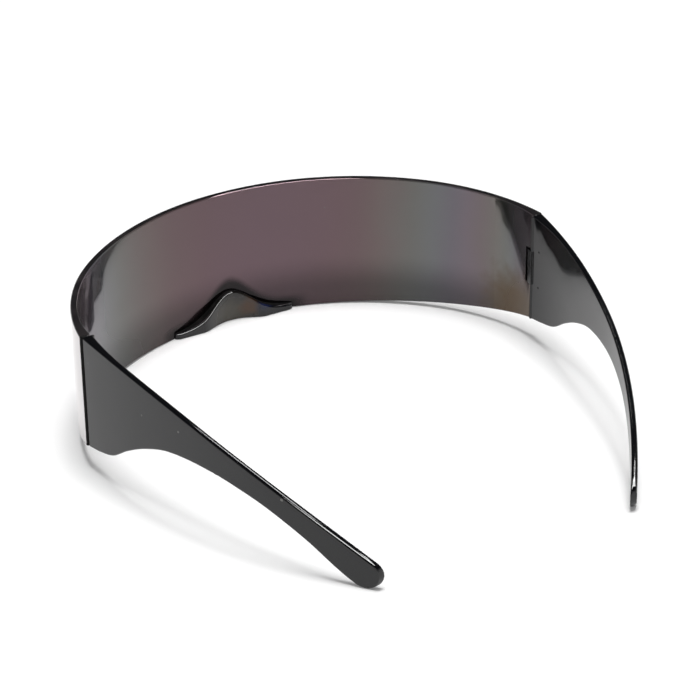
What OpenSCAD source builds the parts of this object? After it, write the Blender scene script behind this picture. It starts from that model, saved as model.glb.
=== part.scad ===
// Wraparound shield sunglasses: one curved lens, two folding temples on
// hinge pins and a nose bridge. The glasses stand open on a table, as worn:
// +Z is up, the lens faces -Y and the wearer's left is +X.
// The origin is on the table, under the middle of the lens wall.

/* [Lens] */
// Height of the lens at its middle
lens_height = 42.8; // [39:0.1:47]
// Thickness of the lens wall
lens_wall = 2; // [1.6:0.1:2.4]
// Radius of the lens across the brow, at mid wall
brow_radius = 79; // [75:0.5:84]
// Angle from straight ahead at which the brow curve ends, in degrees
brow_angle = 44.5; // [41:0.5:48]
// Radius of the lens at its sides, at mid wall
side_radius = 64.5; // [60:0.5:70]
// Angle from straight ahead at which the lens ends, in degrees
side_angle = 81.6; // [78:0.2:84]
// Fall of the top edge from the middle to the hinge
top_fall = 1.1; // [0:0.1:3]
// Rise of the bottom edge from the middle to the hinge
bottom_rise = 7.4; // [6:0.1:9]
// Bow of the bottom edge below a straight line
bottom_bow = 1.3; // [0.6:0.1:1.5]

/* [Hinge] */
// Thickness of the lens and of the temple where they meet
end_wall = 3.8; // [3.4:0.1:4.4]
// Length of each thick end before it tapers
end_block = 4; // [3:0.5:6]
// Length of the taper from the thick end to the thin wall
end_taper = 9; // [6:0.5:12]
// Skin of the lens that hides the hinge tab from outside
outer_skin = 0.7; // [0.5:0.1:0.9]
// Height of the temple's hinge tab
tab_height = 10.8; // [8:0.2:14]
// Diameter of the hinge pin
pin_diameter = 1.2; // [1:0.1:1.4]
// Length of pin held in the lens above the tab
pin_grip_above = 5; // [3:0.5:7]
// Length of pin held in the lens below the tab
pin_grip_below = 7; // [4:0.5:8]
// Gap between the lens end and the temple end when wide open
seam_gap = 0.15; // [0.1:0.05:0.3]
// Gap above and below the tab
tab_side_gap = 0.2; // [0.1:0.05:0.4]
// Gap between the tab's round nose and the outer skin
tab_nose_gap = 0.1; // [0.08:0.01:0.16]
// Gap between the tab's nose and the floor of its pocket
pocket_gap = 0.5; // [0.2:0.1:0.9]
// Radial clearance of the tab's bore round the pin
bore_clearance = 0.04; // [0.02:0.01:0.08]

/* [Temples] */
// Thickness of the temple wall
arm_wall = 1.8; // [1.6:0.1:2.2]
// Length of the temple along its outer face
arm_length = 101.8; // [96:0.2:110]
// Length of the nearly straight front stretch
arm_front_length = 47; // [40:0.2:54]
// Outer radius of the front stretch
arm_front_radius = 238; // [210:1:280]
// Outer radius of the stretch that hugs the head
arm_rear_radius = 145; // [130:1:160]
// Height of the temple at its narrowest
arm_depth = 7.3; // [6:0.1:9]
// Width of the temple across its round tip
tip_width = 8.3; // [7:0.1:10]
// Slope of the top edge below level at the hinge, in degrees
hinge_dip = 6; // [3:0.2:9]
// Slope of the top edge below level at the tip, in degrees
tip_dip = 32; // [28:0.5:36]
// Angle of the left temple inwards from wide open, in degrees
left_rest_angle = 16.2; // [0:0.1:20]
// Angle of the right temple inwards from wide open, in degrees
right_rest_angle = 12.4; // [0:0.1:20]

/* [Nose bridge] */
// Half of the bridge's width
bridge_half_width = 20.5; // [18:0.5:23]
// Height of the bridge at its crown
bridge_height = 10.2; // [9:0.1:13]
// Height of the bridge at its outer ends
bridge_foot_height = 1.9; // [1.4:0.1:2.6]
// Half width of the bell where it has lost two thirds of its height
bridge_bell = 8.9; // [7.5:0.1:10]
// Depth of the pads behind the middle of the lens's inner face
pad_reach = 3.8; // [3.2:0.1:4.4]
// Radius of the pads' outer corners, seen from above
pad_corner_radius = 2; // [1.4:0.1:2.5]
// Radius of the scoop that sits on the nose
scoop_radius = 13; // [11:0.5:17]
// Lean of the scoop away from the lens towards its top, in degrees
scoop_lean = 6; // [4:0.5:9]
// Thickness of the bridge under the scoop at its lowest point
scoop_wall = 0.6; // [0.5:0.1:0.9]

/* [Hidden] */

// Facets of a round pin or bore, and steps along the curves
round_steps = 96;
lens_steps = 48;
edge_steps = 14;
arm_steps = 48;
tip_steps = 12;
tip_foot_steps = 3;
bell_steps = 36;
// How far cutting shapes reach past what they cut
overrun = lens_wall / 2;

// How much of the extra height at the hinge is left, along the temple
cheek_shares = [[0, 1], [0.05, 0.955], [0.11, 0.865], [0.17, 0.68], [0.25, 0.465],
    [0.35, 0.26], [0.5, 0.09], [0.62, 0.02], [0.72, 0], [1, 0]];
// How much of the extra height at the tip has come, along the temple
tip_shares = [[0, 0], [0.6, 0], [0.7, 0.03], [0.8, 0.3], [0.9, 1], [1, 1]];

// Lens in plan
brow_centre = [0, brow_radius];
side_centre = brow_centre + (brow_radius - side_radius) * heading(brow_angle);
brow_length = brow_radius * brow_angle * PI / 180;
lens_half_length = brow_length + side_radius * (side_angle - brow_angle) * PI / 180;
lens_taper_start = lens_half_length - end_block - end_taper;

// Lens seen from the side
seam_place = lens_point(lens_half_length, 0);
seam_top = lens_height - top_fall;
seam_bottom = bottom_rise;
seam_height = seam_top - seam_bottom;
flat_depth = brow_radius - sqrt(pow(brow_radius, 2) - pow(bridge_half_width, 2)) + lens_wall / 2;
rise_run = seam_place.y - flat_depth;

// Hinge, seen from above with the pin at the centre
pin_radius = pin_diameter / 2;
pin_inset = (end_wall - outer_skin) / 2;
tab_radius = pin_inset - tab_nose_gap;
pocket_depth = tab_radius + pocket_gap;
outer_face = end_wall - pin_inset;
shoulder = pin_inset + seam_gap;
pin_place = lens_point(lens_half_length, lens_wall / 2 - end_wall + pin_inset)
    - pin_inset * [cos(side_angle), sin(side_angle)];
tab_bottom = (seam_top + seam_bottom - tab_height) / 2;
tab_top = tab_bottom + tab_height;
pin_bottom = tab_bottom - tab_side_gap - pin_grip_below;
pin_top = tab_top + tab_side_gap + pin_grip_above;

// Temple in plan, from the pin
front_turn = degrees_along(arm_front_length, arm_front_radius);
front_centre = [outer_face - arm_front_radius, shoulder];
rear_centre = front_centre
    + (arm_front_radius - arm_rear_radius) * [cos(front_turn), sin(front_turn)];

// Temple seen from the side, its round tip on the table
tip_radius = tip_width / 2;
tip_centre = arm_length - tip_radius;
tip_height = tip_width / cos(tip_dip);
tip_top = tip_radius + tip_height / 2;
// Directions round the tip, with one at its lowest point
tip_angles = [
    for (i = [0:tip_foot_steps]) -90 - tip_dip * (1 - i / tip_foot_steps),
    for (i = [1:tip_steps]) -90 + (180 - tip_dip) * i / tip_steps,
];

function degrees_along(length, radius) = length / radius * 180 / PI;
function heading(angle) = [sin(angle), -cos(angle)];

// Lens in plan, at a length along its middle and an offset outwards from it
function lens_heading(along) = along <= brow_length
    ? degrees_along(along, brow_radius)
    : brow_angle + degrees_along(along - brow_length, side_radius);
function lens_point(along, offset) = along <= brow_length
    ? brow_centre + (brow_radius + offset) * heading(lens_heading(along))
    : side_centre + (side_radius + offset) * heading(lens_heading(along));
function lens_wall_at(along) = lens_wall
    + (end_wall - lens_wall) * smooth_step((along - lens_taper_start) / end_taper);
// The same at a step on either side of the middle, inside the wall by a depth
function sided(point, step) = [sign(step) * point.x, point.y];
function lens_outside(step) = let (along = abs(step) * lens_half_length / lens_steps)
    sided(lens_point(along, lens_wall / 2), step);
function lens_inside(step, depth = 0) = let (along = abs(step) * lens_half_length / lens_steps)
    sided(lens_point(along, lens_wall / 2 - lens_wall_at(along) - depth), step);

function smooth_step(share) = let (q = min(max(share, 0), 1)) q * q * (3 - 2 * q);
// Smooth curve through a table of [place, value] shares
function slope_at(table, i) = let (a = max(i - 1, 0), b = min(i + 1, len(table) - 1))
    (table[b][1] - table[a][1]) / (table[b][0] - table[a][0]);
function smooth_share(table, place, i = 0) =
    i < len(table) - 2 && place > table[i + 1][0] ? smooth_share(table, place, i + 1) :
    let (run = table[i + 1][0] - table[i][0], q = (place - table[i][0]) / run, s = smooth_step(q))
    table[i][1] * (1 - s) + table[i + 1][1] * s
        + run * q * (1 - q) * ((1 - q) * slope_at(table, i) - q * slope_at(table, i + 1));

// Height of the lens's bottom edge at a depth behind the brow
function bottom_edge(depth) = let (q = max(depth - flat_depth, 0) / rise_run)
    bottom_rise * q - 4 * bottom_bow * q * (1 - q);

// Temple seen from the side, at a length along its outer face
function arm_height(along) = let (share = along / arm_length)
    arm_depth + (seam_height - arm_depth) * smooth_share(cheek_shares, share)
        + (tip_height - arm_depth) * smooth_share(tip_shares, share);
function arm_top(along) = let (q = along / tip_centre, fallen = smooth_step(q))
    seam_top * (1 - fallen) + tip_top * fallen
        - tip_centre * q * (1 - q) * ((1 - q) * tan(hinge_dip) - q * tan(tip_dip));
function arm_bottom(along) = arm_top(along) - arm_height(along);
// Temple in plan, at a length along its outer face and a depth inside it
function arm_turn(along) = along < arm_front_length
    ? degrees_along(along, arm_front_radius)
    : front_turn + degrees_along(along - arm_front_length, arm_rear_radius);
function arm_point(along, depth) = let (turn = arm_turn(along))
    (along < arm_front_length ? front_centre : rear_centre)
        + ((along < arm_front_length ? arm_front_radius : arm_rear_radius) - depth)
            * [cos(turn), sin(turn)];
function arm_wall_at(along) = end_wall
    - (end_wall - arm_wall) * smooth_step((along - end_block) / end_taper);

module both_sides() {
    children();
    mirror([1, 0, 0]) children();
}

// Turns a side view, drawn as depth and height, into a block across the glasses
module across(half_width) {
    translate([-half_width, 0, 0])
        rotate([90, 0, 90])
            linear_extrude(height = 2 * half_width)
                children();
}

// Lens

module lens_in_plan() {
    polygon([
        for (step = [-lens_steps:lens_steps]) lens_outside(step),
        for (step = [lens_steps:-1:-lens_steps]) lens_inside(step),
    ]);
}

module lens_side_view() {
    edge_end = flat_depth + rise_run + end_wall;
    polygon([
        [-lens_wall, 0],
        for (i = [0:edge_steps])
            let (depth = flat_depth + (edge_end - flat_depth) * i / edge_steps)
            [depth, bottom_edge(depth)],
        [edge_end, lens_height - top_fall * edge_end / seam_place.y],
        [-lens_wall, lens_height + top_fall * lens_wall / seam_place.y],
    ]);
}

module at_hinge() {
    translate(pin_place)
        rotate([0, 0, side_angle - 90])
            children();
}

// Rounds the inner corner of the lens end, so that the temple can fold past it
module inner_corner_cut() {
    difference() {
        translate([-pin_inset - overrun, 0, -overrun])
            cube([pin_inset + overrun, pin_inset + overrun, lens_height + 2 * overrun]);
        translate([0, 0, -2 * overrun])
            cylinder(r = pin_inset, h = lens_height + 4 * overrun, $fn = round_steps);
    }
}

// Pocket for the hinge tab, open to the inside and to the rear
module tab_pocket() {
    translate([-pin_inset - overrun, -pocket_depth, tab_bottom - tab_side_gap])
        cube([
            2 * pin_inset + overrun,
            pocket_depth + pin_inset + overrun,
            tab_height + 2 * tab_side_gap,
        ]);
}

module pin_bore() {
    translate([0, 0, -overrun])
        cylinder(r = pin_radius, h = pin_top + overrun, $fn = round_steps);
}

module shield_lens() {
    color([0.36, 0.31, 0.34])
        difference() {
            intersection() {
                linear_extrude(height = lens_height) lens_in_plan();
                across(2 * brow_radius) lens_side_view();
            }
            both_sides() at_hinge() {
                inner_corner_cut();
                tab_pocket();
                pin_bore();
            }
        }
}

// Temples

// The plan runs past the tip, which the side view rounds
module arm_in_plan() {
    step_length = (arm_length + tip_radius) / arm_steps;
    polygon([
        for (i = [0:arm_steps]) arm_point(i * step_length, 0),
        for (i = [arm_steps:-1:0]) arm_point(i * step_length, arm_wall_at(i * step_length)),
    ]);
}

module arm_side_view() {
    bottom_step = (tip_centre - tip_radius * sin(tip_dip)) / arm_steps;
    top_step = tip_centre / arm_steps;
    polygon([
        for (i = [0:arm_steps - 1])
            [arm_point(i * bottom_step, 0).y, arm_bottom(i * bottom_step)],
        for (angle = tip_angles)
            [arm_point(tip_centre + tip_radius * cos(angle), 0).y, tip_radius * (1 + sin(angle))],
        for (i = [arm_steps:-1:0])
            [arm_point(i * top_step, 0).y, arm_top(i * top_step)],
    ]);
}

// Round-nosed tab that turns on the pin
module hinge_tab() {
    translate([0, 0, tab_bottom])
        linear_extrude(height = tab_height) {
            circle(r = tab_radius, $fn = round_steps);
            translate([-tab_radius, 0])
                square([2 * tab_radius, shoulder + end_block / 2]);
        }
}

module temple(rest_angle) {
    color([0.07, 0.07, 0.075])
        at_hinge() rotate([0, 0, rest_angle])
            difference() {
                union() {
                    intersection() {
                        linear_extrude(height = seam_top) arm_in_plan();
                        across(arm_length) arm_side_view();
                    }
                    hinge_tab();
                }
                translate([0, 0, tab_bottom - overrun])
                    cylinder(r = pin_radius + bore_clearance, h = tab_height + 2 * overrun,
                        $fn = round_steps);
            }
}

module left_temple() {
    temple(left_rest_angle);
}

module right_temple() {
    mirror([1, 0, 0]) temple(right_rest_angle);
}

// Hinge pins

module hinge_pin() {
    color([0.72, 0.72, 0.74])
        at_hinge()
            translate([0, 0, pin_bottom])
                cylinder(r = pin_radius, h = pin_top - pin_bottom, $fn = round_steps);
}

module left_hinge_pin() {
    hinge_pin();
}

module right_hinge_pin() {
    mirror([1, 0, 0]) hinge_pin();
}

// Nose bridge

module bridge_in_plan() {
    pad_front = lens_wall / 2 + pad_reach;
    corner = [bridge_half_width, pad_front] - pad_corner_radius * [1, 1];
    steps = ceil(bridge_half_width * lens_steps / lens_half_length) + 1;
    intersection() {
        polygon([
            for (step = [-steps:steps]) lens_inside(step),
            for (step = [steps, -steps]) lens_inside(step, pad_front),
        ]);
        union() {
            translate([-corner.x, 0]) square([2 * corner.x, pad_front]);
            translate([-bridge_half_width, 0]) square([2 * bridge_half_width, corner.y]);
            both_sides() translate(corner) circle(r = pad_corner_radius, $fn = round_steps);
        }
    }
}

// Bell shape of the bridge, seen from behind
module bridge_bell_shape() {
    polygon([
        [-bridge_half_width, 0],
        for (i = [-bell_steps / 2:bell_steps / 2])
            let (place = 2 * bridge_half_width * i / bell_steps)
            [place, bridge_foot_height
                + (bridge_height - bridge_foot_height) * exp(-pow(place / bridge_bell, 2))],
        [bridge_half_width, 0],
    ]);
}

module nose_scoop() {
    translate([0, lens_wall / 2 + scoop_wall, 0])
        rotate([-scoop_lean, 0, 0])
            translate([0, scoop_radius, -bridge_height])
                cylinder(r = scoop_radius, h = 3 * bridge_height, $fn = 2 * round_steps);
}

module nose_bridge() {
    color([0.05, 0.05, 0.055])
        difference() {
            intersection() {
                linear_extrude(height = bridge_height) bridge_in_plan();
                translate([0, bridge_half_width, 0])
                    rotate([90, 0, 0])
                        linear_extrude(height = bridge_half_width) bridge_bell_shape();
            }
            nose_scoop();
        }
}

shield_lens();
nose_bridge();
left_temple();
right_temple();
left_hinge_pin();
right_hinge_pin();
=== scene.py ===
import math

import bmesh
import bpy
from bpy.props import FloatProperty, FloatVectorProperty, IntProperty, PointerProperty
from mathutils import Euler, Matrix, Vector


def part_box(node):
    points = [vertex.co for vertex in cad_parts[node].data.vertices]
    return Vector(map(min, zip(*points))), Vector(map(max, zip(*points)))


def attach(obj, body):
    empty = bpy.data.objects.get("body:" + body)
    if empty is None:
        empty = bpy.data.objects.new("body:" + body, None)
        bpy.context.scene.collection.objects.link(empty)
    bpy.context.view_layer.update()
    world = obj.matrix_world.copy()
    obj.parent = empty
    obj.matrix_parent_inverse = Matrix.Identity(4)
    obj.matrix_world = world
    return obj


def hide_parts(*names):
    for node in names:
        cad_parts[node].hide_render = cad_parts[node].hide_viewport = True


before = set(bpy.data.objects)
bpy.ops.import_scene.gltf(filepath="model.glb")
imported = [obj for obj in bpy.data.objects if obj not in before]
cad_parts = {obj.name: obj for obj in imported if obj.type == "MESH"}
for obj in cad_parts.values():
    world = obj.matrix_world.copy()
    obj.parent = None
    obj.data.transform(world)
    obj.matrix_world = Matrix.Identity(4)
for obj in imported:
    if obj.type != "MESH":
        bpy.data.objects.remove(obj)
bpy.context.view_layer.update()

bl_info = {
    "name": "Shield Sunglasses",
    "version": (1, 0, 0),
    "blender": (4, 5, 0),
    "location": "View3D > Sidebar > Sunglasses",
    "description": "Builds wraparound sunglasses with folding temples, and a small studio",
    "category": "Object",
}

MM = 0.001
# Closer than this, two points are one
MERGED = MM / 1000
UP = Vector((0, 0, 1))


def length(label, description, value, **more):
    """A size property, given in millimetres and kept in metres."""
    return FloatProperty(name=label, description=description, default=value * MM,
        precision=5, unit="LENGTH", **more)


def angle(label, description, value):
    """An angle property, given in degrees and kept in radians."""
    return FloatProperty(name=label, description=description, default=math.radians(value),
        subtype="ANGLE")


def share(label, description, value):
    """A property between 0 and 1."""
    return FloatProperty(name=label, description=description, default=value, min=0, max=1)


def count(label, description, value):
    """A number of steps."""
    return IntProperty(name=label, description=description, default=value, min=8)


def colour(label, description, value):
    return FloatVectorProperty(name=label, description=description, default=value,
        subtype="COLOR", min=0, max=1)


# Sizes and colours that a user may change

class LensSizes(bpy.types.PropertyGroup):
    height: length("Height", "Height of the lens at its middle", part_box("shield_lens")[1].z / MM)
    wall: length("Wall", "Thickness of the lens", 2)
    brow_radius: length("Brow radius", "Radius across the brow, at mid wall", 79)
    brow_angle: angle("Brow angle", "Where the brow curve ends", 44.5)
    side_radius: length("Side radius", "Radius at the sides, at mid wall", 64.5)
    side_angle: angle("Side angle", "Where the lens ends", 81.6)
    top_fall: length("Top fall", "Fall of the top edge to the hinge", 1.1)
    bottom_rise: length("Bottom rise", "Rise of the bottom edge to the hinge", 7.4)
    bottom_bow: length("Bottom bow", "Bow of the bottom edge below a straight line", 1.3)
    end_wall: length("End wall", "Thickness where lens and temple meet", 3.8)
    end_taper: length("End taper", "Length of the taper to the thin wall", 20)
    crowding: length("Crowding", "How far from the ends the columns start to crowd", 6)
    end_swell: length("End swell", "Length of the steeper swell beside the seam", 0.5)
    edge_round: length("Edge rounding", "Rounding of the long edges", 0.45)
    end_round: length("End rounding", "Rounding of the outer edge beside the temple", 0.7)
    brow_steps: count("Brow steps", "Steps along half the brow", 36)
    side_steps: count("Side steps", "Steps along each side", 64)
    rows: count("Rows", "Rows up the lens", 10)


class HingeSizes(bpy.types.PropertyGroup):
    outer_skin: length("Outer skin", "Lens wall that hides the hinge tab", 0.7)
    tab_height: length("Tab height", "Height of the temple's hinge tab", 10.8)
    tab_root: length("Tab root", "Depth of the tab's root in the temple", 0.3)
    pin_diameter: length("Pin diameter", "Diameter of the hinge pin", 1.2)
    pin_grip_above: length("Grip above", "Pin held in the lens above the tab", 5)
    pin_grip_below: length("Grip below", "Pin held in the lens below the tab", 7)
    pin_chamfer: length("Pin chamfer", "Chamfer at both ends of the pin", 0.15)
    seam_gap: length("Seam gap", "Gap between lens end and temple end", 0.15)
    tab_side_gap: length("Tab side gap", "Gap above and below the tab", 0.35)
    tab_nose_gap: length("Tab nose gap", "Gap between the tab's nose and the skin", 0.1)
    pocket_gap: length("Pocket gap", "Gap between the tab's nose and the pocket's floor", 0.7)
    bore_clearance: length("Bore clearance", "Clearance of the tab's bore round the pin", 0.04)


class TempleSizes(bpy.types.PropertyGroup):
    wall: length("Wall", "Thickness of the temple", 1.8)
    length: length("Length", "Length along the outer face", 101.8)
    front_length: length("Front length", "Length of the nearly straight stretch", 47)
    front_radius: length("Front radius", "Outer radius of the front stretch", 238)
    rear_radius: length("Rear radius", "Outer radius of the rear stretch", 145)
    depth: length("Depth", "Height at the narrowest", 7.3)
    tip_width: length("Tip width", "Width across the round tip", 8.3)
    hinge_dip: angle("Hinge dip", "Slope of the top edge below level at the hinge", 6)
    tip_dip: angle("Tip dip", "Slope of the top edge below level at the tip", 32)
    edge_round: length("Edge rounding", "Rounding of the outline", 0.6)
    dimple_radius: length("Dimple radius", "Radius of the two ejector dimples", 0.34)
    dimple_place: length("Dimple place", "Distance of the dimples from the seam", 3.05)
    upper_dimple: length("Upper dimple", "Height of the upper dimple", 30.97)
    lower_dimple: length("Lower dimple", "Height of the lower dimple", 19.2)
    left_rest_angle: angle("Left angle", "Left temple inwards from wide open", 16.2)
    right_rest_angle: angle("Right angle", "Right temple inwards from wide open", 12.4)
    steps: count("Steps", "Steps along the temple", 60)


class BridgeSizes(bpy.types.PropertyGroup):
    half_width: length("Half width", "Half of the width", 20.5)
    height: length("Height", "Height at the crown", 10.2)
    foot_height: length("Foot height", "Height at the outer ends", 1.9)
    bell: length("Bell", "Half width where two thirds of the height is lost", 8.9)
    pad_reach: length("Pad reach", "Depth of the pads behind the lens", 3.8)
    pad_corner: length("Pad corner", "Radius of the pads' outer corners", 2)
    scoop_radius: length("Scoop radius", "Radius of the scoop on the nose", 13)
    scoop_lean: angle("Scoop lean", "Lean of the scoop away from the lens", 6)
    scoop_wall: length("Scoop wall", "Thickness under the scoop", 0.6)
    rim_round: length("Rim rounding", "Rounding of the upper rim", 0.8)
    foot_round: length("Foot rounding", "Rounding of the lower rim", 0.35)
    shoulder_blend: length("Shoulder", "Softness of the line from scoop to pad", 2.4)
    steps: count("Steps", "Steps across the bridge", 90)


class Finishes(bpy.types.PropertyGroup):
    plastic: colour("Black plastic", "Colour of the temples", (0.004, 0.004, 0.005))
    steel: colour("Pin steel", "Colour of the hinge pins", (0.56, 0.56, 0.58))
    dust: colour("Dust", "Colour of the specks", (0.15, 0.147, 0.14))
    strain: colour("Strain", "Colour of the strain by the right hinge", (0.084, 0.052, 0.025))
    tint_strength: share("Tint strength", "Saturation of the bands inside the lens", 0.1)
    tint_value: share("Tint value", "Brightness of the bands inside the lens", 0.148)


class StudioSettings(bpy.types.PropertyGroup):
    camera_place: FloatVectorProperty(name="Camera place", description="Where the camera stands",
        default=(0.323166, 0.641889, 0.381701), subtype="TRANSLATION", unit="LENGTH")
    camera_turn: FloatVectorProperty(name="Camera turn", description="Which way the camera looks",
        default=[math.radians(a) for a in (61.2786, 0.5263, 150.0263)], subtype="EULER")
    focal_length: FloatProperty(name="Focal length", description="Focal length in millimetres",
        default=136.05, unit="CAMERA")
    floor_size: length("Floor size", "Side of the square floor", 6000)
    floor_colour: share("Floor colour", "Brightness of the floor's matt white", 0.86)
    floor_lift: share("Floor lift", "Light that the floor shows camera and gloss by itself", 0.12)
    sky_level: share("Sky level", "Strength of the plain white sky", 0.24)
    sky_glow: share("Sky glow", "What gloss sees of the sky high up", 0.015)
    overhead_power: FloatProperty(name="Overhead", description="Power of the lamp overhead",
        default=920, min=0, unit="POWER")
    glint_level: FloatProperty(name="Glints", description="Brightness of the lamps in the gloss",
        default=20, min=0)


# Shared shapes

def soft_step(place):
    """An even ease from 0 to 1."""
    q = min(max(place, 0), 1)
    return q * q * (3 - 2 * q)


def through(table, place):
    """Smooth curve through a table of places and values."""
    i = max(k for k in range(len(table) - 1) if k == 0 or place > table[k][0])

    def slope(k):
        a, b = table[max(k - 1, 0)], table[min(k + 1, len(table) - 1)]
        return (b[1] - a[1]) / (b[0] - a[0])

    run = table[i + 1][0] - table[i][0]
    q = (place - table[i][0]) / run
    s = soft_step(q)
    return (table[i][1] * (1 - s) + table[i + 1][1] * s
        + run * q * (1 - q) * ((1 - q) * slope(i) - q * slope(i + 1)))


def swell(sizes, distance):
    """Share of the extra thickness that is left at a distance from the hinge."""
    long_share, long_power, short_power = 0.72, 2.4, 2
    return (long_share * max(1 - distance / sizes.end_taper, 0) ** long_power
        + (1 - long_share) * max(1 - distance / sizes.end_swell, 0) ** short_power)


def rounded(radius, distance):
    """How far a quarter round takes a face back at a distance from the end."""
    return radius - math.sqrt(radius ** 2 - max(radius - distance, 0) ** 2)


def heading(turn):
    """Direction in plan, 0 straight ahead, turning to the wearer's left."""
    return Vector((math.sin(turn), -math.cos(turn)))


class LensPlan:
    """The lens seen from above: a brow curve that runs into a tighter curve at each side."""

    def __init__(self, sizes):
        self.sizes = s = sizes
        self.brow_centre = Vector((0, s.brow_radius))
        self.side_centre = self.brow_centre + (s.brow_radius - s.side_radius) * heading(
            s.brow_angle)
        self.brow_length = s.brow_radius * s.brow_angle
        self.half_length = self.brow_length + s.side_radius * (s.side_angle - s.brow_angle)
        self.seam = self.point(self.half_length, 0)
        # The bottom edge is level as far out as the nose bridge reaches
        self.level_depth = s.brow_radius - math.sqrt(s.brow_radius ** 2
            - bpy.context.scene.bridge_sizes.half_width ** 2) + s.wall / 2

    def point(self, along, offset):
        """Place in plan at a length along mid wall, offset outwards."""
        s = self.sizes
        if along <= self.brow_length:
            return self.brow_centre + (s.brow_radius + offset) * heading(along / s.brow_radius)
        turn = s.brow_angle + (along - self.brow_length) / s.side_radius
        return self.side_centre + (s.side_radius + offset) * heading(turn)

    def locate(self, place):
        """Length along mid wall and offset outwards of a place, whichever side it is on."""
        s = self.sizes
        spot = Vector((abs(place.x), place.y))
        arm = spot - self.brow_centre
        turn = math.atan2(arm.x, -arm.y)
        if turn <= s.brow_angle:
            return turn * s.brow_radius, arm.length - s.brow_radius
        arm = spot - self.side_centre
        turn = math.atan2(arm.x, -arm.y) - s.brow_angle
        return self.brow_length + turn * s.side_radius, arm.length - s.side_radius

    def outwards(self, place):
        """Level direction out of the lens at a place."""
        along, _ = self.locate(place)
        out = self.point(along, 1) - self.point(along, 0)
        return Vector((math.copysign(out.x, place.x), out.y, 0))

    def inner_offset(self, along):
        s = self.sizes
        return -s.wall / 2 - (s.end_wall - s.wall) * swell(s, self.half_length - along)

    def bottom(self, depth):
        q = max(depth - self.level_depth, 0) / (self.seam.y - self.level_depth)
        return self.sizes.bottom_rise * q - 4 * self.sizes.bottom_bow * q * (1 - q)

    def top(self, depth):
        return self.sizes.height - self.sizes.top_fall * max(depth, 0) / self.seam.y


class HingePlan:
    """The hinge, with the pin at the centre, X outwards and Y rearwards."""

    def __init__(self, lens, sizes):
        s = lens.sizes
        self.sizes = sizes
        self.inset = (s.end_wall - sizes.outer_skin) / 2
        self.tab_radius = self.inset - sizes.tab_nose_gap
        self.pocket_depth = self.tab_radius + sizes.pocket_gap
        self.outer_face = s.end_wall - self.inset
        self.shoulder = self.inset + sizes.seam_gap
        self.pin = lens.point(lens.half_length, s.wall / 2 - s.end_wall + self.inset) - (
            self.inset * Vector((math.cos(s.side_angle), math.sin(s.side_angle))))
        self.turn = s.side_angle - math.pi / 2
        self.seam_top = s.height - s.top_fall
        self.seam_bottom = s.bottom_rise
        self.tab_bottom = (self.seam_top + self.seam_bottom - sizes.tab_height) / 2
        self.tab_top = self.tab_bottom + sizes.tab_height
        self.pin_bottom = self.tab_bottom - sizes.tab_side_gap - sizes.pin_grip_below
        self.pin_top = self.tab_top + sizes.tab_side_gap + sizes.pin_grip_above

    def in_pocket(self, place):
        """Whether a place, on either side, is on the inside of the tab's pocket."""
        x, y, z = self.place(1).inverted() @ Vector((abs(place.x), place.y, place.z))
        beyond_sides, short_of_seam = self.inset * 1.02, self.inset * 0.98
        gap = self.sizes.tab_side_gap + self.sizes.tab_nose_gap
        return (abs(x) < beyond_sides and y < short_of_seam
            and self.tab_bottom - gap < z < self.tab_top + gap)

    def place(self, side, rest_angle=0):
        """Moves a shape from the pin to its place on the glasses, side 1 left and -1 right."""
        mirror = Matrix.Diagonal((side, 1, 1, 1))
        return (mirror @ Matrix.Translation((*self.pin, 0))
            @ Matrix.Rotation(self.turn + rest_angle, 4, "Z"))


def plans(scene):
    """The plan of the lens and that of the hinges, from the sizes set in the scene."""
    plan = LensPlan(scene.lens_sizes)
    return plan, HingePlan(plan, scene.hinge_sizes)


# Mesh helpers

def block(low, high):
    """A box between two corners, as a new bmesh."""
    bm = bmesh.new()
    low, high = Vector(low), Vector(high)
    bmesh.ops.create_cube(bm, size=1, matrix=Matrix.LocRotScale(
        (low + high) / 2, None, high - low))
    return bm


def rod(radius, bottom, top):
    """An upright round bar on the Z axis, as a new bmesh."""
    bm = bmesh.new()
    bmesh.ops.create_cone(bm, cap_ends=True, cap_tris=False, segments=48,
        radius1=radius, radius2=radius, depth=top - bottom,
        matrix=Matrix.Translation((0, 0, (top + bottom) / 2)))
    return bm


def round_edges(bm, edges, radius, segments, clamp=True):
    """Rounds edges to a radius."""
    bmesh.ops.bevel(bm, geom=edges, offset=radius, offset_type="OFFSET", segments=segments,
        profile=0.5, affect="EDGES", material=-1, clamp_overlap=clamp)


def sharp_edges(bm, limit=50):
    """Edges where the faces turn by more than a number of degrees."""
    bm.normal_update()
    return [e for e in bm.edges
        if len(e.link_faces) == 2 and e.calc_face_angle() > math.radians(limit)]


def sheet(bm, columns, rows):
    """A flat sheet whose X and Y run from 0 to 1."""
    bmesh.ops.create_grid(bm, x_segments=columns, y_segments=rows, size=0.5,
        matrix=Matrix.Translation((0.5, 0.5, 0)))


def face_outwards(bm):
    bm.normal_update()
    bmesh.ops.recalc_face_normals(bm, faces=bm.faces)


def fill(mesh, bm):
    """Moves a bmesh into a mesh, with its faces outwards."""
    face_outwards(bm)
    bm.to_mesh(mesh)
    bm.free()


def new_piece(name, bm):
    """A new object in the scene, made from a bmesh."""
    mesh = bpy.data.meshes.new(name)
    fill(mesh, bm)
    piece = bpy.data.objects.new(name, mesh)
    bpy.context.scene.collection.objects.link(piece)
    return piece


def settle(piece):
    """Applies the modifiers of a piece."""
    bpy.context.view_layer.update()
    depsgraph = bpy.context.evaluated_depsgraph_get()
    mesh = bpy.data.meshes.new_from_object(piece.evaluated_get(depsgraph),
        preserve_all_data_layers=True, depsgraph=depsgraph)
    piece.modifiers.clear()
    old = piece.data
    piece.data = mesh
    mesh.name = piece.name
    bpy.data.meshes.remove(old)


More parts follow.
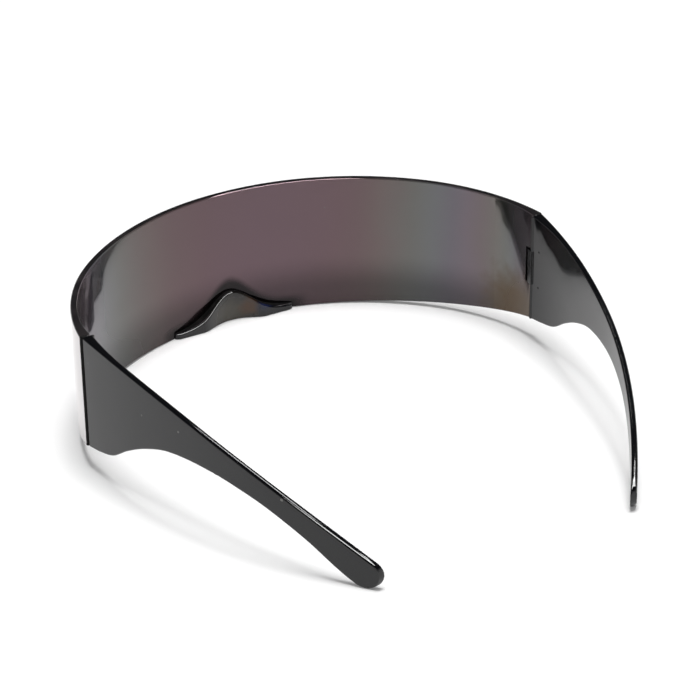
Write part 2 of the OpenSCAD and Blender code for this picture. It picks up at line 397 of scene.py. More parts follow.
def carve(piece, shapes, operation):
    """Cuts shapes out of a piece, or joins them to it."""
    tools = [new_piece("tool", bm) for bm in shapes]
    for tool in tools:
        modifier = piece.modifiers.new("Carve", "BOOLEAN")
        modifier.operation = operation
        modifier.solver = "EXACT"
        modifier.object = tool
    settle(piece)
    for tool in tools:
        mesh = tool.data
        bpy.data.objects.remove(tool)
        bpy.data.meshes.remove(mesh)


def smooth_faces(piece, limit=40):
    """Smooth shading that keeps flat faces flat and real edges sharp."""
    piece.data.polygons.foreach_set("use_smooth", [True] * len(piece.data.polygons))
    piece.data.set_sharp_from_angle(angle=math.radians(limit))
    modifier = piece.modifiers.new("Normals", "WEIGHTED_NORMAL")
    modifier.keep_sharp = True
    modifier.mode = "FACE_AREA_WITH_ANGLE"
    settle(piece)


def dress(piece, body, nodes, slot, *materials):
    """Puts a finished piece on its body in place of CAD nodes, with its materials."""
    for material in materials:
        piece.data.materials.append(material)
    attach(piece, body)
    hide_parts(*nodes)


# Materials

class Net:
    """A node tree, with short ways to add to it."""

    def __init__(self, tree):
        self.tree = tree

    def plug(self, socket, item):
        """Links an output to a socket, or sets the socket to a plain value."""
        if isinstance(item, bpy.types.NodeSocket):
            self.tree.links.new(item, socket)
        elif socket.type == "RGBA":
            socket.default_value = (*item, 1)
        else:
            socket.default_value = item

    def add(self, kind, inputs=(), **settings):
        """A new node; its inputs are given by name or number, or in order."""
        node = self.tree.nodes.new("ShaderNode" + kind)
        for name, value in settings.items():
            setattr(node, name, value)
        for key, item in inputs.items() if isinstance(inputs, dict) else enumerate(inputs):
            self.plug(node.inputs[key], item)
        return node

    def maths(self, operation, *values, clamp=False):
        return self.add("Math", values, operation=operation, use_clamp=clamp).outputs[0]

    def product(self, first, *others):
        for other in others:
            first = self.maths("MULTIPLY", first, other)
        return first

    def remap(self, value, low, high, to_low, to_high):
        """A smooth step from one range of values to another."""
        return self.add("MapRange", (value, low, high, to_low, to_high),
            interpolation_type="SMOOTHSTEP").outputs[0]

    def noise(self, vector, scale, detail=2.0, roughness=0.5):
        return self.add("TexNoise", {"Vector": vector, "Scale": scale, "Detail": detail,
            "Roughness": roughness}).outputs["Fac"]

    def blend(self, mask, first, second, **settings):
        """Two colours mixed by a mask."""
        return self.add("Mix", {0: mask, 6: first, 7: second}, data_type="RGBA",
            **settings).outputs[2]

    def split(self, vector):
        return self.add("SeparateXYZ", (vector,)).outputs


def dust(net, read):
    """Sparse specks of many sizes."""
    cells = net.add("TexVoronoi", {"Vector": read["Vector"], "Scale": read["Cells"]}).outputs
    pick = net.add("SeparateColor", (cells["Color"],)).outputs
    chosen = net.maths("LESS_THAN", pick["Red"], read["Amount"])
    least = 0.35
    radius = net.product(read["Size"], net.maths("ADD", least, pick["Green"]))
    return net.product(chosen, net.maths("LESS_THAN", cells["Distance"], radius))


def handling(net, read):
    """Roughness of a polished face that has been handled: clear, with faint dull patches."""
    clouds = net.noise(read["Vector"], read["Scale"], detail=4.0, roughness=0.6)
    return net.remap(clouds, 0.42, 0.7, read["Polished"], read["Dulled"])


def ripple(net, read):
    """Slow waves that a moulded face keeps, as a height."""
    return net.noise(read["Vector"], read["Scale"], detail=1.0)


def bands(net, read):
    """Interference bands that run through the hues outwards from a place on a curve."""
    place = net.split(read["Vector"])
    waves = net.noise(read["Vector"], scale=28.0, detail=3.0)
    wander = net.product(net.maths("SUBTRACT", waves, 0.5), 0.22)
    turn = net.maths("ADD", net.maths("ARCTAN2", place["X"], place["Y"]), wander)
    out = net.maths("DIVIDE", turn, read["Spread"])
    hue = net.maths("ADD", read["First Hue"], net.product(read["Hues"], net.product(out, out)))
    hued = net.add("CombineColor", (net.maths("FRACT", hue), read["Saturation"], 1.0),
        mode="HSV").outputs[0]
    # The plastic's pink tint in the middle; towards the sides the bands are painted paler and
    # brighter, a painted sheen for the glancing reflection there
    painted_side_sheen = net.remap(net.maths("ABSOLUTE", out), 0.34, 0.7, 0.0, 0.8)
    tint = net.blend(painted_side_sheen, (1.0, 0.72, 0.8), (1.15, 1.1, 1.13))
    return net.add("VectorMath", {0: net.blend(1.0, tint, hued, blend_type="MULTIPLY"),
        "Scale": read["Value"]}, operation="SCALE").outputs[0]


def blot(net, read):
    """A soft-edged blot round a place, with a wandering outline."""
    away = net.add("VectorMath", (read["Vector"], read["Centre"]), operation="DISTANCE")
    waves = net.noise(read["Vector"], scale=300.0)
    wander = net.maths("ADD", 0.7, net.product(0.6, waves))
    near = net.maths("DIVIDE", away.outputs["Value"], read["Reach"])
    return net.remap(net.product(wander, near), 0.2, 1.0, 1.0, 0.0)


def ramp(net, read):
    """A height that climbs evenly towards both hinges from a line across each side."""
    past = net.maths("SUBTRACT", net.split(read["Vector"])["Y"], read["Start"])
    return net.product(net.maths("MAXIMUM", 0.0, past), read["Slope"])


def shade(net, read):
    """Shade on the lens beside the hinges, along its foot and round the nose bridge."""
    place = net.split(read["Vector"])
    foot = net.remap(place["Z"], 5 * MM, 18 * MM, 0.45, 1.0)
    # Beside each hinge, beyond a line that slants with the height
    slant = net.maths("MULTIPLY_ADD", place["Z"], 0.563, place["Y"])
    side = net.remap(slant, 67 * MM, 69 * MM, 1.0, 0.4)
    # The bridge's reflection is a soft copy of its outline
    across = net.maths("DIVIDE", place["X"], read["Bell"])
    bell = net.product(read["Crown"], net.maths("EXPONENT", net.product(across, across, -1.0)))
    above = net.maths("DIVIDE", net.maths("SUBTRACT", place["Z"], bell), read["Halo"])
    near = net.remap(net.maths("ABSOLUTE", across), 2.2, 3.0, 1.0, 0.0)
    halo = net.product(near, net.remap(above, 0.45, 1.2, 0.92, 0.0))
    return net.product(foot, side, net.maths("SUBTRACT", 1.0, halo), read["Level"])


# The shared effects: what builds each, what it gives and what it reads
EFFECTS = {
    "Dust": (dust, "Mask", {"Cells": 230.0, "Amount": 0.1, "Size": 0.075}),
    "Handling marks": (handling, "Roughness", {"Scale": 60.0, "Polished": 0.0, "Dulled": 1.0}),
    "Moulding ripple": (ripple, "Height", {"Scale": 60.0}),
    "Interference bands": (bands, "Color", {"Spread": 1.06, "First Hue": 0.93, "Hues": 1.15,
        "Saturation": 0.1, "Value": 0.15}),
    "Strain blot": (blot, "Mask", {"Centre": (0, 0, 0), "Reach": 4 * MM}),
    "End ramp": (ramp, "Height", {"Start": 43.5 * MM, "Slope": 0.155}),
    "Lens shade": (shade, "Level", {"Crown": 10 * MM, "Bell": 9 * MM, "Halo": 4.5 * MM,
        "Level": 1.0}),
}


def effect(name):
    """The shared node group of that name, built the first time it is asked for."""
    if name in bpy.data.node_groups:
        return bpy.data.node_groups[name]
    build, output, values = EFFECTS[name]
    tree = bpy.data.node_groups.new(name, "ShaderNodeTree")
    for label, value in {"Vector": (0, 0, 0), **values}.items():
        kind = "NodeSocketFloat" if isinstance(value, float) else "NodeSocketVector"
        tree.interface.new_socket(name=label, in_out="INPUT", socket_type=kind
            ).default_value = value
    kind = "NodeSocketColor" if output == "Color" else "NodeSocketFloat"
    tree.interface.new_socket(name=output, in_out="OUTPUT", socket_type=kind)
    start, end = tree.nodes.new("NodeGroupInput"), tree.nodes.new("NodeGroupOutput")
    tree.links.new(build(Net(tree), start.outputs), end.inputs[0])
    return tree


class Finish(Net):
    """A material with a Principled BSDF, mapped Object coordinates and shared effects."""

    def __init__(self, name, constants, scale=(1, 1, 1)):
        self.material = bpy.data.materials.new(name)
        self.material.use_nodes = True
        super().__init__(self.material.node_tree)
        self.shader = self.tree.nodes["Principled BSDF"]
        for label, value in constants.items():
            self.shader.inputs[label].default_value = value
        self.vector = self.mapped(scale=scale)

    def mapped(self, place=(0, 0, 0), turn=(0, 0, 0), scale=(1, 1, 1)):
        source = self.add("TexCoord").outputs["Object"]
        return self.add("Mapping", (source, place, turn, scale)).outputs[0]

    def use(self, name, vector=None, **values):
        """What a shared effect gives, on the material's own coordinates unless told others."""
        node = self.add("Group", node_tree=effect(name))
        self.plug(node.inputs["Vector"], self.vector if vector is None else vector)
        for label, item in values.items():
            self.plug(node.inputs[label.replace("_", " ")], item)
        return node.outputs[0]

    def feed(self, output, label="Base Color"):
        self.tree.links.new(output, self.shader.inputs[label])

    def patches(self, scale, first, second):
        """Base colour in soft patches of two colours."""
        self.feed(self.blend(self.use("Handling marks", Scale=scale), first, second))

    def handled(self, scale, polished, dulled):
        """Roughness between two values, in patches."""
        self.feed(self.use("Handling marks", Scale=scale, Polished=polished, Dulled=dulled),
            "Roughness")

    def bump(self, height, strength=1.0, distance=1.0):
        """A bump over those that the material already has."""
        node = self.add("Bump", {"Strength": strength, "Distance": distance, "Height": height})
        for link in self.shader.inputs["Normal"].links:
            self.tree.links.new(link.from_socket, node.inputs["Normal"])
        self.feed(node.outputs[0], "Normal")


def mirror_coat(finishes):
    """The silver mirror outside, which shows bands of faint colour."""
    finish = Finish("Mirror coat", {"Metallic": 1.0, "IOR": 1.5})
    hues = finish.use("Interference bands", finish.mapped((0, 0.079, 0), scale=(1, -1, 1)),
        Spread=1.0, First_Hue=0.55, Hues=0.5, Saturation=0.04, Value=0.5)
    specks = finish.use("Dust", Cells=300.0, Amount=0.02, Size=0.1)
    finish.feed(finish.blend(specks, hues, finishes.dust))
    finish.handled(45.0, polished=0.03, dulled=0.08)
    return finish.material


def tinted_inside(finishes, bridge):
    """The back of the mirror coat seen through tinted plastic: dark, with soft bands."""
    finish = Finish("Tinted inside", {"Metallic": 0.55, "IOR": 1.5})
    # Painted shade on the bands: darker beside the hinges and along the foot, with a painted dark
    # reflection of the nose bridge
    level = finish.use("Lens shade", Crown=bridge.height, Bell=bridge.bell,
        Level=finishes.tint_value)
    # The bands start a little to the wearer's right of the middle of the brow
    hues = finish.use("Interference bands",
        finish.mapped((0.0118, 0.0781, 0), (0, 0, 0.152), (1, -1, 1)),
        Saturation=finishes.tint_strength, Value=level)
    strained = finish.use("Strain blot", Centre=(-0.0705, 0.053, 0.009), Reach=17 * MM)
    specks = finish.use("Dust", Cells=330.0, Amount=0.006, Size=0.08)
    finish.feed(finish.blend(specks, finish.blend(strained, hues, finishes.strain),
        finishes.dust))
    finish.handled(40.0, polished=0.06, dulled=0.12)
    finish.bump(finish.use("Moulding ripple", Scale=45.0), strength=0.25, distance=0.4 * MM)
    finish.bump(finish.use("End ramp"))
    return finish.material


def cut_edge():
    """The dark edge of the lens, where the tinted plastic is seen end on."""
    finish = Finish("Lens edge", {"IOR": 1.58})
    finish.patches(90.0, (0.012, 0.011, 0.012), (0.03, 0.026, 0.027))
    finish.handled(120.0, polished=0.08, dulled=0.2)
    return finish.material


def pocket_shade():
    """A dull copy of the dark plastic that paints shade deep in the hinge pockets, on the lens's
    rounded ends beside the seams and on the nose bridge's top.
    """
    finish = Finish("Pocket shade", {"IOR": 1.45, "Specular IOR Level": 0.15})
    finish.patches(300.0, (0.004, 0.004, 0.004), (0.01, 0.009, 0.009))
    finish.handled(500.0, polished=0.6, dulled=0.8)
    return finish.material


def black_plastic(finishes):
    """Gloss black moulding of the temples, with specks of dust and soft handling marks."""
    finish = Finish("Black plastic", {"IOR": 1.5})
    finish.feed(finish.blend(finish.use("Dust"), finishes.plastic, finishes.dust))
    finish.handled(70.0, polished=0.05, dulled=0.13)
    finish.bump(finish.use("Moulding ripple"), strength=0.3, distance=0.4 * MM)
    return finish.material


def bridge_plastic(finishes):
    """Gloss black of the nose bridge, with strain colours in the scoop."""
    finish = Finish("Bridge plastic", {"IOR": 1.5})
    shown = finishes.plastic
    for place, reach, tint in (((0, 0.004, 0.002), 9.5, (0.055, 0.048, 0.034)),
            ((-0.0055, 0.003, 0.004), 4.2, (0.065, 0.028, 0.01)),
            ((-0.0105, 0.003, 0.004), 3.8, (0.012, 0.018, 0.06))):
        strained = finish.use("Strain blot", Centre=place, Reach=reach * MM)
        shown = finish.blend(strained, shown, tint)
    finish.feed(shown)
    finish.handled(90.0, polished=0.05, dulled=0.12)
    return finish.material


def pin_steel(finishes):
    """Drawn steel wire of the hinge pins, with fine lines along it."""
    finish = Finish("Pin steel", {"Metallic": 1.0}, scale=(1, 1, 0.05))
    finish.patches(4000.0, finishes.steel, (0.3, 0.3, 0.31))
    finish.handled(2500.0, polished=0.22, dulled=0.4)
    return finish.material


# Lens

def spin_section(bm, faces, centre, turn, steps):
    """Sweeps a section round an upright line and gives the faces that it ends in."""
    swept = bmesh.ops.spin(bm, geom=faces, cent=(*centre, 0), axis=UP, angle=turn,
        steps=steps, use_merge=False, use_normal_flip=False, use_duplicate=False)
    return [part for part in swept["geom_last"] if isinstance(part, bmesh.types.BMFace)]


def lens_blank(plan, hinge):
    """The lens without its pockets: half is swept, thickened at its end and mirrored."""
    s = plan.sizes
    bm = bmesh.new()
    # The section stands in the middle: the sheet's X is the depth and its Y the height
    sheet(bm, 1, s.rows)
    bm.transform(Matrix(((0, 0, 1, 0), (s.wall, 0, 0, -s.wall / 2), (0, 1, 0, 0),
        (0, 0, 0, 1))))
    ends = spin_section(bm, bm.faces[:], plan.brow_centre, s.brow_angle, s.brow_steps)
    spin_section(bm, ends, plan.side_centre, s.side_angle - s.brow_angle, s.side_steps)
    # The sections where the sweeps start are inside the wall
    middle = [f for f in bm.faces if all(abs(v.co.x) < MERGED for v in f.verts)]
    bmesh.ops.delete(bm, geom=middle + ends, context="FACES")
    side_length = plan.half_length - plan.brow_length
    for vert in bm.verts:
        along, offset = plan.locate(vert.co)
        # The columns crowd towards the end, whose two corners are round
        left = max(plan.half_length - along, 0)
        if left < side_length:
            left *= left / (left + s.crowding) * (1 + s.crowding / side_length)
        along = plan.half_length - left
        if offset < 0:
            offset = plan.inner_offset(along) + rounded(hinge.inset, left)
        else:
            offset = s.wall / 2 - rounded(s.end_round, left)
        vert.co.x, vert.co.y = plan.point(along, offset)
        low, high = plan.bottom(vert.co.y), plan.top(vert.co.y)
        vert.co.z = low + (high - low) * vert.co.z
    bmesh.ops.mirror(bm, geom=bm.verts[:] + bm.edges[:] + bm.faces[:],
        matrix=Matrix.Identity(4), merge_dist=MERGED, axis="X")
    face_outwards(bm)
    round_edges(bm, sharp_edges(bm), s.edge_round, segments=3, clamp=False)
    for vert in bm.verts:
        vert.co.z = max(vert.co.z, 0)
    return bm


def hinge_cuts(plan, hinge, side):
    """What is cut from one end of the lens: the tab's pocket and the pin's bore."""
    over, gap = plan.sizes.wall / 2, hinge.sizes.tab_side_gap
    pocket = block((-hinge.inset - over, -hinge.pocket_depth, hinge.tab_bottom - gap),
        (hinge.inset, hinge.inset + over, hinge.tab_top + gap))
    bore = rod(hinge.sizes.pin_diameter / 2, -over, hinge.pin_top)
    for bm in (pocket, bore):
        bm.transform(hinge.place(side))
        yield bm


# The lens's materials in their order
OUTSIDE, INSIDE, EDGE, PAINTED_SHADE = range(4)


def lens_material(plan, hinge, face):
    """Which of the lens's materials a face has."""
    s = plan.sizes
    # How far a face looks outwards, from 1, straight out, to -1, straight in
    out, inwards, tapered = 0.93, -0.9, -0.35
    # Nearly half the wall, a hair off the inner face, and most of the end's rounding
    outer, hair, rounding = s.wall * 0.49, 0.3 * MM, 0.8 * s.end_round
    along, offset = plan.locate(face.center)
    left = plan.half_length - along
    facing = face.normal.dot(plan.outwards(face.center))
    if facing > out and offset > outer:
        return OUTSIDE
    if facing < tapered and offset < plan.inner_offset(along) + hair and (
            facing < inwards or left > s.end_swell):
        return INSIDE
    # Painted shade deep in the hinge pockets and on the rounded end beside the seam
    if hinge.in_pocket(face.center) or (offset > -s.wall / 2 and left < rounding):
        return PAINTED_SHADE
    return EDGE


class SUNGLASSES_OT_shield_lens(bpy.types.Operator):
    """Build the one-piece lens with its two hinge pockets"""
    bl_idname = "sunglasses.shield_lens"
    bl_label = "Shield Lens"

    def execute(self, context):
        plan, hinge = plans(context.scene)
        lens = new_piece("lens", lens_blank(plan, hinge))
        carve(lens, [*hinge_cuts(plan, hinge, 1), *hinge_cuts(plan, hinge, -1)], "DIFFERENCE")
        finishes = context.scene.finishes
        dress(lens, "lens_front", ["shield_lens"], "mirrored_lens", mirror_coat(finishes),
            tinted_inside(finishes, context.scene.bridge_sizes), cut_edge(), pocket_shade())
        for face in lens.data.polygons:
            face.material_index = lens_material(plan, hinge, face)
        smooth_faces(lens)
        return {"FINISHED"}


# Nose bridge

def bridge_section(plan, s, place):
    """Outline of the bridge at a place across it, from the foot of the lens, up and round."""
    x = abs(place)
    wall = plan.sizes.wall
    inner_radius = plan.sizes.brow_radius - wall / 2
    back = plan.sizes.brow_radius - math.sqrt(inner_radius ** 2 - x * x)
    crown = s.foot_height + (s.height - s.foot_height) * math.exp(-(x / s.bell) ** 2)
    pad = wall / 2 + s.pad_reach
    past = x - (s.half_width - s.pad_corner)
    if past > 0:
        pad -= s.pad_corner - math.sqrt(max(s.pad_corner ** 2 - past ** 2, 0))

    def front(height):
        if x >= s.scoop_radius:
            return pad
        dip = s.scoop_radius - math.sqrt(s.scoop_radius ** 2 - x * x)
        scoop = (wall / 2 + s.scoop_wall + dip / math.cos(s.scoop_lean)
            + height * math.tan(s.scoop_lean))
        # The lesser of the two, rounded where they meet
        part = max(s.shoulder_blend - abs(pad - scoop), 0) / s.shoulder_blend
        return min(pad, scoop) - part * part * s.shoulder_blend / 4

    def corner(centre, radius, first, last, rows):
        """Points down a rounded corner, between two angles in degrees above level."""
        for i in range(rows + 1):
            turn = math.radians(first + (last - first) * i / rows)
            height = centre + radius * math.sin(turn)
            yield front(height) - radius + radius * math.cos(turn), height

    # The roundings stay smaller than the bridge where it thins out
    deep = max(front(crown) - back, 0)
    rim = min(s.rim_round, deep * 0.6, crown * 0.4)
    foot = min(s.foot_round, deep * 0.3, crown * 0.2)
    high, rim_rows, front_rows, foot_rows = crown - rim, 7, 5, 4
    heights = [high + (foot - high) * i / front_rows for i in range(1, front_rows)]
    outline = [(back, 0), (back, crown), *corner(high, rim, 90, 0, rim_rows),
        *((front(height), height) for height in heights),
        *corner(foot, foot, 0, -90, foot_rows)]
    return [(max(y, back), z) for y, z in outline]


class SUNGLASSES_OT_nose_bridge(bpy.types.Operator):
    """Build the nose bridge with its scoop and two pads"""
    bl_idname = "sunglasses.nose_bridge"
    bl_label = "Nose Bridge"

    def execute(self, context):
        plan = LensPlan(context.scene.lens_sizes)
        sizes = context.scene.bridge_sizes
        reach, crowding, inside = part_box("nose_bridge")[1].x, 0.35, 0.999
        corners = len(bridge_section(plan, sizes, 0))
        bm = bmesh.new()
        sheet(bm, sizes.steps, corners)
        for vert in bm.verts:
            # Stations crowd towards both ends, which stay inside the solid's
            across = 2 * vert.co.x - 1
            crowded = inside * math.sin(across * math.pi / 2)
            place = reach * (crowding * crowded + (1 - crowding) * across)
            outline = bridge_section(plan, sizes, place)
            vert.co = (place, *outline[round(vert.co.y * corners) % corners])
        bmesh.ops.remove_doubles(bm, verts=bm.verts, dist=2 * MERGED)
        bmesh.ops.holes_fill(bm, edges=[e for e in bm.edges if e.is_boundary], sides=0)
        bmesh.ops.dissolve_degenerate(bm, edges=bm.edges, dist=2 * MERGED)
        bridge = new_piece("bridge", bm)
        dress(bridge, "lens_front", ["nose_bridge"], "black_bridge",
            bridge_plastic(context.scene.finishes), pocket_shade())
        # The top behind the rim, which looks up but not back, lies in the shade of the lens
        up, back = 0.3, 0.08
        for face in bridge.data.polygons:
            if face.normal.z > up and abs(face.normal.y) < back:
                face.material_index = 1
        smooth_faces(bridge, limit=50)
        return {"FINISHED"}


# Temples

class TempleShape:
    """The temple from above and from the side, with the pin at the centre."""

    # How much of the extra height at the hinge is left, and of that at the tip has come
    CHEEK = ((0, 1), (0.05, 0.955), (0.11, 0.865), (0.17, 0.68), (0.25, 0.465), (0.35, 0.26),
        (0.5, 0.09), (0.62, 0.02), (0.72, 0), (1, 0))
    TIP = ((0, 0), (0.6, 0), (0.7, 0.03), (0.8, 0.3), (0.9, 1), (1, 1))
    # How much the columns crowd towards the hinge, and the round tip's scale in the solid's
    CROWDING, SHRUNK = 1.35, 0.998

    def __init__(self, plan, hinge, sizes):
        self.plan, self.hinge, self.sizes = plan, hinge, sizes
        s = sizes
        self.front_turn = s.front_length / s.front_radius
        self.front_centre = Vector((hinge.outer_face - s.front_radius, hinge.shoulder))
        self.rear_centre = self.front_centre + (s.front_radius - s.rear_radius) * Vector(
            (math.cos(self.front_turn), math.sin(self.front_turn)))
        # The round tip stands on the table
        self.tip_radius = s.tip_width / 2
        self.tip_centre = s.length - self.tip_radius
        self.tip_height = s.tip_width / math.cos(s.tip_dip)

    def height(self, along):
        s = self.sizes
        tall = self.hinge.seam_top - self.hinge.seam_bottom
        return (s.depth + (tall - s.depth) * through(self.CHEEK, along / s.length)
            + (self.tip_height - s.depth) * through(self.TIP, along / s.length))

    def top(self, along):
        """Height of the top edge: a smooth fall from the hinge to the slope at the tip."""
        s = self.sizes
        q = min(along / self.tip_centre, 1)
        fallen = soft_step(q)
        tip_top = self.tip_radius + self.tip_height / 2
        return (self.hinge.seam_top * (1 - fallen) + tip_top * fallen
            - self.tip_centre * q * (1 - q) * (
                (1 - q) * math.tan(s.hinge_dip) - q * math.tan(s.tip_dip))
            - max(along - self.tip_centre, 0) * math.tan(s.tip_dip))

    def wall(self, along):
        s = self.plan.sizes
        return self.sizes.wall + (s.end_wall - self.sizes.wall) * swell(s, along)

    def rearwards(self, along):
        """Distance behind the pin of the outer face at a length along it."""
        s = self.sizes
        if along < s.front_length:
            return self.front_centre.y + s.front_radius * math.sin(along / s.front_radius)
        turn = self.front_turn + (along - s.front_length) / s.rear_radius
        return self.rear_centre.y + s.rear_radius * math.sin(turn)

    def sideways(self, y, inside):
        """Place across, at a distance behind the pin, of a face inside the outer one."""
        s = self.sizes
        change = self.front_centre.y + (s.front_radius - inside) * math.sin(self.front_turn)
        centre, radius = ((self.front_centre, s.front_radius) if y < change
            else (self.rear_centre, s.rear_radius))
        return centre.x + math.sqrt((radius - inside) ** 2 - (y - centre.y) ** 2)

    def point(self, column, row, inner, columns, tip_columns):
        """Place of one point of the temple's grid; the last columns make the round tip."""
        dip = self.sizes.tip_dip
        if column <= columns:
            # Columns lean with the slope more and more towards the tip
            lean = self.tip_radius * math.sin(dip)
            part = (column / columns) ** self.CROWDING
            low, high = (self.tip_centre - lean) * part, (self.tip_centre + lean) * part
            along = low + (high - low) * row
            height = (self.top(low) - self.height(low)) * (1 - row) + self.top(high) * row
        else:
            # Columns bend from straight lines into the end of a circle
            bend = (column - columns) / tip_columns
            up = 2 * row - 1
            corner = math.radians(90 - 45 * bend)
            flat = Vector((math.cos(corner), math.sin(corner) * up))
            # The solid's round end has flats, and this one stays inside them
            curved = self.SHRUNK * Vector((math.cos(corner * up), math.sin(corner * up)))
            spot = self.tip_radius * flat.lerp(curved, bend)
            along = self.tip_centre + spot.x * math.cos(dip) + spot.y * math.sin(dip)
            height = self.tip_radius + spot.y * math.cos(dip) - spot.x * math.sin(dip)
        y = self.rearwards(along)
        x = self.sideways(y, self.wall(along) if inner else 0)
        return Vector((x, y, height))


def temple_blank(shape):
    """The temple's wall with rounded edges, before its tab is joined."""
    columns, tip_columns, rows = shape.sizes.steps, 3, 6
    total = columns + tip_columns
    bm = bmesh.new()
    sheet(bm, total, rows)
    other = bmesh.ops.extrude_face_region(bm, geom=bm.faces[:], use_keep_orig=True)["geom"]
    inner = {v for v in other if isinstance(v, bmesh.types.BMVert)}
    for vert in bm.verts:
        vert.co = shape.point(round(vert.co.x * total), vert.co.y, vert in inner, columns,
            tip_columns)
    face_outwards(bm)
    # The edges round the seam stay crisp
    near = MM / 100
    outline = [e for e in sharp_edges(bm, 60)
        if min(v.co.y for v in e.verts) > shape.hinge.shoulder + near
        or abs(e.verts[0].co.y - e.verts[1].co.y) > near]
    round_edges(bm, outline, shape.sizes.edge_round, segments=5, clamp=False)
    return bm


def tab_blank(hinge):
    """The round-nosed tab that turns on the pin."""
    bm = block((-hinge.tab_radius, -hinge.tab_radius, hinge.tab_bottom),
        (hinge.tab_radius, hinge.shoulder + hinge.sizes.tab_root, hinge.tab_top))
    nose = [e for e in bm.edges if all(v.co.y < 0 for v in e.verts)
        and abs(e.verts[0].co.x - e.verts[1].co.x) < MERGED]
    # A strip between the two roundings stays flat
    rounding = hinge.tab_radius * 0.998
    round_edges(bm, nose, rounding, segments=16)
    return bm


def dimples(shape):
    """Two shallow ejector dimples on the inner face, above and below the middle of the tab."""
    s = shape.sizes
    y = shape.rearwards(s.dimple_place)
    x = shape.sideways(y, shape.wall(s.dimple_place))
    for height in (s.upper_dimple, s.lower_dimple):
        bm = bmesh.new()
        bmesh.ops.create_uvsphere(bm, u_segments=20, v_segments=12, radius=s.dimple_radius,
            matrix=Matrix.Translation((x, y, height)))
        yield bm


class SUNGLASSES_OT_temples(bpy.types.Operator):
    """Build the two folding temples with their hinge tabs"""
    bl_idname = "sunglasses.temples"
    bl_label = "Temples"

    def execute(self, context):
        plan, hinge = plans(context.scene)
        sizes = context.scene.temple_sizes
        shape = TempleShape(plan, hinge, sizes)
        plastic = black_plastic(context.scene.finishes)
        bore_radius = hinge.sizes.pin_diameter / 2 + hinge.sizes.bore_clearance
        for name, side, rest in (("left", 1, sizes.left_rest_angle),
                ("right", -1, sizes.right_rest_angle)):
            temple = new_piece(f"{name}_temple_arm", temple_blank(shape))
            carve(temple, [tab_blank(hinge)], "UNION")
            carve(temple, [rod(bore_radius, 0, plan.sizes.height), *dimples(shape)],
                "DIFFERENCE")
            bm = bmesh.new()
            bm.from_mesh(temple.data)
            bm.transform(hinge.place(side, rest))
            fill(temple.data, bm)
            dress(temple, f"{name}_arm", [f"{name}_temple"], "black_temple", plastic)
            smooth_faces(temple)
        return {"FINISHED"}


# Hinge pins

class SUNGLASSES_OT_hinge_pins(bpy.types.Operator):
    """Build the two steel hinge pins"""
    bl_idname = "sunglasses.hinge_pins"
    bl_label = "Hinge Pins"

    def execute(self, context):
        _, hinge = plans(context.scene)
        steel = pin_steel(context.scene.finishes)
        for name, side in (("left", 1), ("right", -1)):
            bm = rod(hinge.sizes.pin_diameter / 2, hinge.pin_bottom, hinge.pin_top)
            round_edges(bm, sharp_edges(bm), hinge.sizes.pin_chamfer, segments=2)
            bm.transform(hinge.place(side))
            pin = new_piece(f"{name}_pin", bm)
            dress(pin, "lens_front", [f"{name}_hinge_pin"], "pin_steel", steel)
            smooth_faces(pin)
        return {"FINISHED"}


# Studio

# Lamps that only gloss shows: name, place, size and the direction of the length
GLINTS = (
    ("Glint behind", (-0.1, 0.6, 0.8), (0.8, 0.28), (1, 0, 0)),
    ("Glint over tip", (-0.35, 0.36, 0.6), (0.08, 0.02), (0.1, 1, 0)),
    ("Glint beside", (-0.25, 0.03, 0.6), (0.34, 0.02), (-0.05, 0.24, 0)),
)


def bare_net(owner):
    """The emptied node tree of a new material or world."""
    owner.use_nodes = True
    owner.node_tree.nodes.clear()
    return Net(owner.node_tree)


def floor_material(settings):
    """Matt white that stays white to camera and gloss and keeps the shadows on it."""
    material = bpy.data.materials.new("Floor")
    net = bare_net(material)
    path = net.add("LightPath").outputs
    seen = net.maths("MAXIMUM", path["Is Camera Ray"],
        net.maths("MAXIMUM", path["Is Glossy Ray"], path["Is Transmission Ray"]))
    matt = net.add("BsdfDiffuse", {"Color": [settings.floor_colour] * 3})
    lift = net.add("Emission", {"Strength": net.product(seen, settings.floor_lift)})
    both = net.add("AddShader", (matt.outputs[0], lift.outputs[0]))
    net.add("OutputMaterial", both.outputs[:1])
    return material


def sky(settings):
    """White to the camera, plain for light, and darker overhead to gloss."""
    world = bpy.data.worlds.new("Studio")
    net = bare_net(world)
    path = net.add("LightPath").outputs
    clear = net.maths("MAXIMUM", path["Is Camera Ray"], path["Is Transmission Ray"])
    glossy = path["Is Glossy Ray"]
    # Gloss sees the glow of the sky fade between two heights of its ray
    height = net.split(net.add("TexCoord").outputs["Generated"])["Z"]
    glow = net.product(glossy, net.remap(height, 0.08, 0.36, 1.0, settings.sky_glow))
    other = net.maths("SUBTRACT", 1.0, net.maths("ADD", clear, glossy, clamp=True))
    level = net.maths("ADD", net.maths("MAXIMUM", clear, glow),
        net.product(other, settings.sky_level))
    light = net.add("Background", {"Color": (1, 1, 1), "Strength": level})
    net.add("OutputWorld", light.outputs[:1])
    return world


def soft_light(name, place, size, power, along=(1, 0, 0)):
    """A rectangular soft light over the glasses, its length as near to a direction as it can."""
    data = bpy.data.lights.new(name, "AREA")
    data.shape = "RECTANGLE"
    data.size, data.size_y = size
    data.energy = power
    light = bpy.data.objects.new(name, data)
    bpy.context.scene.collection.objects.link(light)
    glasses = Vector((0, 80 * MM, 20 * MM))
    back = (Vector(place) - glasses).normalized()
    across = back.cross(Vector(along)).normalized()
    light.matrix_world = Matrix.Translation(place) @ Matrix(
        (across.cross(back), across, back)).transposed().to_4x4()
    return light


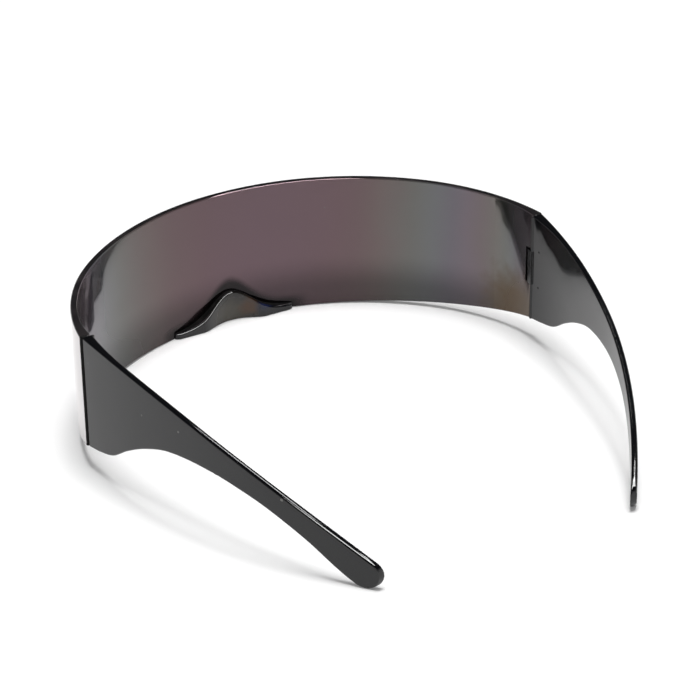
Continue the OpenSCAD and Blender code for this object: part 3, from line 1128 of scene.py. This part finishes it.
class SUNGLASSES_OT_studio(bpy.types.Operator):
    """Set up the floor, the lights and the camera"""
    bl_idname = "sunglasses.studio"
    bl_label = "Studio"

    def execute(self, context):
        scene = context.scene
        settings = scene.studio_settings
        bm = bmesh.new()
        bmesh.ops.create_grid(bm, x_segments=4, y_segments=4, size=settings.floor_size / 2)
        floor = new_piece("floor", bm)
        floor.data.materials.append(floor_material(settings))
        scene.world = sky(settings)
        overhead = soft_light("Overhead", (0, 0.4, 10), (4, 3.5), settings.overhead_power)
        overhead.visible_glossy = False
        for name, place, size, along in GLINTS:
            power = settings.glint_level * math.pi * size[0] * size[1]
            soft_light(name, place, size, power, along).visible_diffuse = False
        camera = bpy.data.objects.new("Camera", bpy.data.cameras.new("Camera"))
        camera.data.lens = settings.focal_length
        camera.data.clip_start, camera.data.clip_end = 0.01, 50
        camera.location = settings.camera_place
        camera.rotation_euler = Euler(settings.camera_turn)
        scene.collection.objects.link(camera)
        scene.camera = camera
        scene.view_settings.view_transform = "Standard"
        return {"FINISHED"}


# Add-on

class SUNGLASSES_PT_builder(bpy.types.Panel):
    bl_label = "Shield Sunglasses"
    bl_idname = "SUNGLASSES_PT_builder"
    bl_space_type = "VIEW_3D"
    bl_region_type = "UI"
    bl_category = "Sunglasses"

    def draw(self, context):
        for step in STEPS:
            self.layout.operator(step.bl_idname)


STEPS = (SUNGLASSES_OT_shield_lens, SUNGLASSES_OT_nose_bridge, SUNGLASSES_OT_temples,
    SUNGLASSES_OT_hinge_pins, SUNGLASSES_OT_studio)
GROUPS = {"lens_sizes": LensSizes, "hinge_sizes": HingeSizes, "temple_sizes": TempleSizes,
    "bridge_sizes": BridgeSizes, "finishes": Finishes, "studio_settings": StudioSettings}
CLASSES = (*GROUPS.values(), *STEPS, SUNGLASSES_PT_builder)


def register():
    for cls in CLASSES:
        bpy.utils.register_class(cls)
    for name, cls in GROUPS.items():
        setattr(bpy.types.Scene, name, PointerProperty(type=cls))


def unregister():
    for name in GROUPS:
        delattr(bpy.types.Scene, name)
    for cls in reversed(CLASSES):
        bpy.utils.unregister_class(cls)


def main():
    register()
    bpy.ops.sunglasses.shield_lens()
    bpy.ops.sunglasses.nose_bridge()
    bpy.ops.sunglasses.temples()
    bpy.ops.sunglasses.hinge_pins()
    bpy.ops.sunglasses.studio()


if __name__ == "__main__":
    main()
